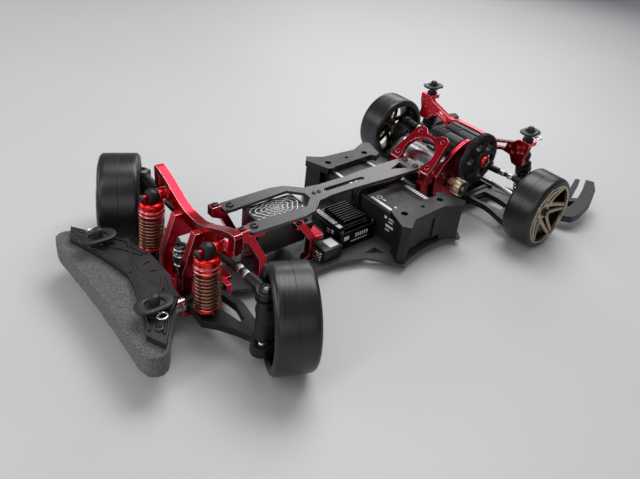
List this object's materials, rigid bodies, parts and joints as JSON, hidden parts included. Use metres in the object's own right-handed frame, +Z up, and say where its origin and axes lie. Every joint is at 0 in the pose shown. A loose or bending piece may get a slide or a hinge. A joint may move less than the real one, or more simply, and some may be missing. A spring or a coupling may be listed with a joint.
{
  "type": "rc drift car chassis",
  "caption": "Rear-drive remote-control drift car chassis with carbon decks, coil-over suspension, high-angle steering, motor, gear train, servo, battery and foam bumper; no body shell.",
  "frame": {"origin": "on the ground plane, under the middle of the overall length and width", "axes": "+X towards the front bumper, +Y towards the left side of the car, +Z up; the front wheels are steered fully left at rest"},
  "size_m": [0.422, 0.2254, 0.0894],
  "materials": {
    "carbon_fibre": "satin twill laminate",
    "red_anodised": "satin anodised, bright edges",
    "black_plastic": "fine-grained moulded nylon",
    "grey_plastic": "satin moulded nylon",
    "bumper_foam": "matt cellular foam",
    "tyre_rubber": "satin hard drift compound",
    "rim_bronze": "satin bronze coat",
    "steel": "satin",
    "bright_steel": "polished",
    "brass": "satin",
    "copper_spring": "gloss coat",
    "servo_case": "satin",
    "esc_case": "black anodised",
    "battery_case": "gloss sleeve",
    "motor_can": "brushed",
    "shock_black": "black anodised"
  },
  "bodies": {
    "chassis": {"chassis_plate": "carbon_fibre", "upper_deck": "carbon_fibre", "front_bulkhead": "red_anodised", "front_shock_tower": "red_anodised", "bumper_bracket": "grey_plastic", "bumper_foam": "bumper_foam", "body_posts": "grey_plastic", "springs": "copper_spring", "servo": "servo_case", "servo_mounts": "red_anodised", "esc": "esc_case", "battery_pack": "battery_case", "battery_holders": "black_plastic", "motor": "motor_can", "motor_plate": "red_anodised", "motor_brace": "red_anodised", "gearbox_case": "black_plastic", "rear_shock_tower": "red_anodised", "rear_bumper": "grey_plastic", "fasteners": "bright_steel"},
    "steering_crank": {"steering_crank": "red_anodised"},
    "servo_horn": {"servo_horn": "red_anodised"},
    "drag_link": {"drag_link": "steel"},
    "tie_rods": {"tie_rods": "black_plastic"},
    "spur_gear": {"spur_gear": "black_plastic"},
    "pinion_gear": {"pinion_gear": "brass"},
    "idler_gear": {"idler_gear": "grey_plastic"},
    "diff_gear": {"diff_gear": "grey_plastic"},
    "front_lower_arm_left": {"front_lower_arm_left": "black_plastic"},
    "front_kingpin_left": {"front_kingpin_left": "steel"},
    "front_upper_link_left": {"front_upper_link_left": "black_plastic"},
    "front_knuckle_left": {"front_knuckle_left": "black_plastic"},
    "front_shock_body_left": {"front_shock_body_left": "red_anodised"},
    "front_shock_rod_left": {"front_shock_rod_left": "red_anodised"},
    "rear_lower_arm_left": {"rear_lower_arm_left": "black_plastic"},
    "rear_hub_left": {"rear_hub_left": "black_plastic"},
    "rear_upper_link_left": {"rear_upper_link_left": "black_plastic"},
    "driveshaft_left": {"driveshaft_left": "steel"},
    "rear_shock_body_left": {"rear_shock_body_left": "shock_black"},
    "rear_shock_rod_left": {"rear_shock_rod_left": "shock_black"},
    "front_wheel_left": {"front_rim_left": "rim_bronze", "front_tyre_left": "tyre_rubber"},
    "rear_wheel_left": {"rear_rim_left": "rim_bronze", "rear_tyre_left": "tyre_rubber"},
    "front_lower_arm_right": {"front_lower_arm_right": "black_plastic"},
    "front_kingpin_right": {"front_kingpin_right": "steel"},
    "front_upper_link_right": {"front_upper_link_right": "black_plastic"},
    "front_knuckle_right": {"front_knuckle_right": "black_plastic"},
    "front_shock_body_right": {"front_shock_body_right": "red_anodised"},
    "front_shock_rod_right": {"front_shock_rod_right": "red_anodised"},
    "rear_lower_arm_right": {"rear_lower_arm_right": "black_plastic"},
    "rear_hub_right": {"rear_hub_right": "black_plastic"},
    "rear_upper_link_right": {"rear_upper_link_right": "black_plastic"},
    "driveshaft_right": {"driveshaft_right": "steel"},
    "rear_shock_body_right": {"rear_shock_body_right": "shock_black"},
    "rear_shock_rod_right": {"rear_shock_rod_right": "shock_black"},
    "front_wheel_right": {"front_rim_right": "rim_bronze", "front_tyre_right": "tyre_rubber"},
    "rear_wheel_right": {"rear_rim_right": "rim_bronze", "rear_tyre_right": "tyre_rubber"}
  },
  "joints": [
    {"name": "front_suspension_left", "type": "hinge", "parent": "chassis", "child": "front_lower_arm_left", "pos_m": [0.1495, 0.02, 0.014], "axis": [1, 0, 0], "range_deg": [-4.5, 4.5], "stiffness_Nm_per_rad": 4, "springref_deg": -2.86, "deforming": ["springs"]},
    {"name": "front_kingpin_pivot_left", "type": "hinge", "parent": "front_lower_arm_left", "child": "front_kingpin_left", "pos_m": [0.1495, 0.0736, 0.0122], "axis": [1, 0, 0], "range_deg": [-4.6, 4.6]},
    {"name": "steer_left", "type": "hinge", "parent": "front_kingpin_left", "child": "front_knuckle_left", "pos_m": [0.1495, 0.0736, 0.0315], "axis": [0, 0, 1], "range_deg": [-128, 0]},
    {"name": "front_wheel_spin_left", "type": "hinge", "parent": "front_knuckle_left", "child": "front_wheel_left", "pos_m": [0.13728, 0.07956, 0.0315], "axis": [-0.8988, 0.4384, 0], "continuous": true},
    {"name": "front_upper_link_pivot_left", "type": "hinge", "parent": "chassis", "child": "front_upper_link_left", "pos_m": [0.146, 0.022, 0.043], "axis": [1, 0, 0], "range_deg": [-5, 5]},
    {"name": "front_shock_pivot_left", "type": "hinge", "parent": "chassis", "child": "front_shock_body_left", "pos_m": [0.1617, 0.0334, 0.0579], "axis": [1, 0, 0], "range_deg": [-0.12, 0.12]},
    {"name": "front_shock_stroke_left", "type": "slide", "parent": "front_shock_body_left", "child": "front_shock_rod_left", "axis": [0.0068, 0.0451, -0.999], "range_m": [-0.0014, 0.0014]},
    {"name": "rear_suspension_left", "type": "hinge", "parent": "chassis", "child": "rear_lower_arm_left", "pos_m": [-0.1075, 0.024, 0.012], "axis": [1, 0, 0], "range_deg": [-4.5, 4.5], "stiffness_Nm_per_rad": 4, "springref_deg": -3.44, "deforming": ["springs"]},
    {"name": "rear_hub_pivot_left", "type": "hinge", "parent": "rear_lower_arm_left", "child": "rear_hub_left", "pos_m": [-0.1075, 0.072, 0.012], "axis": [1, 0, 0], "range_deg": [-4.6, 4.6]},
    {"name": "rear_upper_link_pivot_left", "type": "hinge", "parent": "chassis", "child": "rear_upper_link_left", "pos_m": [-0.111, 0.028, 0.042], "axis": [1, 0, 0], "range_deg": [-5.2, 5.2]},
    {"name": "driveshaft_pivot_left", "type": "hinge", "parent": "chassis", "child": "driveshaft_left", "pos_m": [-0.1075, 0.024, 0.0315], "axis": [1, 0, 0], "range_deg": [-5, 5]},
    {"name": "rear_wheel_spin_left", "type": "hinge", "parent": "rear_hub_left", "child": "rear_wheel_left", "pos_m": [-0.1075, 0.088, 0.0315], "axis": [0, 1, 0], "continuous": true},
    {"name": "rear_shock_pivot_left", "type": "hinge", "parent": "chassis", "child": "rear_shock_body_left", "pos_m": [-0.1265, 0.054, 0.06], "axis": [1, 0, 0], "range_deg": [-0.2, 0.2]},
    {"name": "rear_shock_stroke_left", "type": "slide", "parent": "rear_shock_body_left", "child": "rear_shock_rod_left", "axis": [0, 0.1571, -0.9876], "range_m": [-0.0031, 0.0031]},
    {"name": "front_suspension_right", "type": "hinge", "parent": "chassis", "child": "front_lower_arm_right", "pos_m": [0.1495, -0.02, 0.014], "axis": [-1, 0, 0], "range_deg": [-4.5, 4.5], "stiffness_Nm_per_rad": 4, "springref_deg": -2.86, "deforming": ["springs"]},
    {"name": "front_kingpin_pivot_right", "type": "hinge", "parent": "front_lower_arm_right", "child": "front_kingpin_right", "pos_m": [0.1495, -0.0736, 0.0122], "axis": [-1, 0, 0], "range_deg": [-4.6, 4.6]},
    {"name": "steer_right", "type": "hinge", "parent": "front_kingpin_right", "child": "front_knuckle_right", "pos_m": [0.1495, -0.0736, 0.0315], "axis": [0, 0, 1], "range_deg": [-128, 0]},
    {"name": "front_wheel_spin_right", "type": "hinge", "parent": "front_knuckle_right", "child": "front_wheel_right", "pos_m": [0.16172, -0.07956, 0.0315], "axis": [-0.8988, 0.4384, 0], "continuous": true},
    {"name": "front_upper_link_pivot_right", "type": "hinge", "parent": "chassis", "child": "front_upper_link_right", "pos_m": [0.146, -0.022, 0.043], "axis": [-1, 0, 0], "range_deg": [-5, 5]},
    {"name": "front_shock_pivot_right", "type": "hinge", "parent": "chassis", "child": "front_shock_body_right", "pos_m": [0.1617, -0.0334, 0.0579], "axis": [-1, 0, 0], "range_deg": [-0.12, 0.12]},
    {"name": "front_shock_stroke_right", "type": "slide", "parent": "front_shock_body_right", "child": "front_shock_rod_right", "axis": [0.0068, -0.0451, -0.999], "range_m": [-0.0014, 0.0014]},
    {"name": "rear_suspension_right", "type": "hinge", "parent": "chassis", "child": "rear_lower_arm_right", "pos_m": [-0.1075, -0.024, 0.012], "axis": [-1, 0, 0], "range_deg": [-4.5, 4.5], "stiffness_Nm_per_rad": 4, "springref_deg": -3.44, "deforming": ["springs"]},
    {"name": "rear_hub_pivot_right", "type": "hinge", "parent": "rear_lower_arm_right", "child": "rear_hub_right", "pos_m": [-0.1075, -0.072, 0.012], "axis": [-1, 0, 0], "range_deg": [-4.6, 4.6]},
    {"name": "rear_upper_link_pivot_right", "type": "hinge", "parent": "chassis", "child": "rear_upper_link_right", "pos_m": [-0.111, -0.028, 0.042], "axis": [-1, 0, 0], "range_deg": [-5.2, 5.2]},
    {"name": "driveshaft_pivot_right", "type": "hinge", "parent": "chassis", "child": "driveshaft_right", "pos_m": [-0.1075, -0.024, 0.0315], "axis": [-1, 0, 0], "range_deg": [-5, 5]},
    {"name": "rear_wheel_spin_right", "type": "hinge", "parent": "rear_hub_right", "child": "rear_wheel_right", "pos_m": [-0.1075, -0.088, 0.0315], "axis": [0, 1, 0], "continuous": true},
    {"name": "rear_shock_pivot_right", "type": "hinge", "parent": "chassis", "child": "rear_shock_body_right", "pos_m": [-0.1265, -0.054, 0.06], "axis": [-1, 0, 0], "range_deg": [-0.2, 0.2]},
    {"name": "rear_shock_stroke_right", "type": "slide", "parent": "rear_shock_body_right", "child": "rear_shock_rod_right", "axis": [0, -0.1571, -0.9876], "range_m": [-0.0031, 0.0031]},
    {"name": "spur_gear_spin", "type": "hinge", "parent": "chassis", "child": "spur_gear", "pos_m": [-0.086, 0.0345, 0.0576], "axis": [0, 1, 0], "continuous": true},
    {"name": "pinion_gear_spin", "type": "hinge", "parent": "chassis", "child": "pinion_gear", "pos_m": [-0.0674, 0.0345, 0.0352], "axis": [0, 1, 0], "continuous": true},
    {"name": "idler_gear_spin", "type": "hinge", "parent": "chassis", "child": "idler_gear", "pos_m": [-0.09574, 0, 0.05002], "axis": [0, 1, 0], "continuous": true},
    {"name": "diff_gear_spin", "type": "hinge", "parent": "chassis", "child": "diff_gear", "pos_m": [-0.1075, 0, 0.0315], "axis": [0, 1, 0], "continuous": true},
    {"name": "servo_horn_pivot", "type": "hinge", "parent": "chassis", "child": "servo_horn", "pos_m": [0.1, -0.003, 0.012], "axis": [0, 0, 1], "range_deg": [-128, 0]},
    {"name": "steering_crank_pivot", "type": "hinge", "parent": "chassis", "child": "steering_crank", "pos_m": [0.139, 0, 0.02], "axis": [0, 0, 1], "range_deg": [-128, 0]},
    {"name": "drag_link_pivot", "type": "hinge", "parent": "servo_horn", "child": "drag_link", "pos_m": [0.10899, -0.00738, 0.0128], "axis": [0, 0, 1], "range_deg": [0, 128]},
    {"name": "tie_rods_pivot", "type": "hinge", "parent": "steering_crank", "child": "tie_rods", "pos_m": [0.1333, -0.01168, 0.0345], "axis": [0, 0, 1], "range_deg": [0, 128]}
  ],
  "couplings": [
    {"joint": "front_kingpin_pivot_left", "follows": "front_suspension_left", "ratio": -1},
    {"joint": "front_upper_link_pivot_left", "follows": "front_suspension_left", "ratio": 1.039},
    {"joint": "front_shock_pivot_left", "follows": "front_suspension_left", "ratio": 0.0247},
    {"joint": "front_shock_stroke_left", "follows": "front_suspension_left", "m_per_rad": -0.01537},
    {"joint": "rear_hub_pivot_left", "follows": "rear_suspension_left", "ratio": -1},
    {"joint": "rear_upper_link_pivot_left", "follows": "rear_suspension_left", "ratio": 1.0909},
    {"joint": "driveshaft_pivot_left", "follows": "rear_suspension_left", "ratio": 1},
    {"joint": "rear_shock_pivot_left", "follows": "rear_suspension_left", "ratio": 0.0418},
    {"joint": "rear_shock_stroke_left", "follows": "rear_suspension_left", "m_per_rad": -0.03717},
    {"joint": "front_kingpin_pivot_right", "follows": "front_suspension_right", "ratio": -1},
    {"joint": "steer_right", "follows": "steer_left", "ratio": 1},
    {"joint": "front_upper_link_pivot_right", "follows": "front_suspension_right", "ratio": 1.039},
    {"joint": "front_shock_pivot_right", "follows": "front_suspension_right", "ratio": 0.0247},
    {"joint": "front_shock_stroke_right", "follows": "front_suspension_right", "m_per_rad": -0.01537},
    {"joint": "rear_hub_pivot_right", "follows": "rear_suspension_right", "ratio": -1},
    {"joint": "rear_upper_link_pivot_right", "follows": "rear_suspension_right", "ratio": 1.0909},
    {"joint": "driveshaft_pivot_right", "follows": "rear_suspension_right", "ratio": 1},
    {"joint": "rear_wheel_spin_right", "follows": "rear_wheel_spin_left", "ratio": 1},
    {"joint": "rear_shock_pivot_right", "follows": "rear_suspension_right", "ratio": 0.0418},
    {"joint": "rear_shock_stroke_right", "follows": "rear_suspension_right", "m_per_rad": -0.03717},
    {"joint": "spur_gear_spin", "follows": "rear_wheel_spin_left", "ratio": 2.6},
    {"joint": "pinion_gear_spin", "follows": "rear_wheel_spin_left", "ratio": -8.4},
    {"joint": "idler_gear_spin", "follows": "rear_wheel_spin_left", "ratio": -2.4762},
    {"joint": "diff_gear_spin", "follows": "rear_wheel_spin_left", "ratio": 1},
    {"joint": "servo_horn_pivot", "follows": "steer_left", "ratio": 1},
    {"joint": "steering_crank_pivot", "follows": "steer_left", "ratio": 1},
    {"joint": "drag_link_pivot", "follows": "steer_left", "ratio": -1},
    {"joint": "tie_rods_pivot", "follows": "steer_left", "ratio": -1}
  ]
}
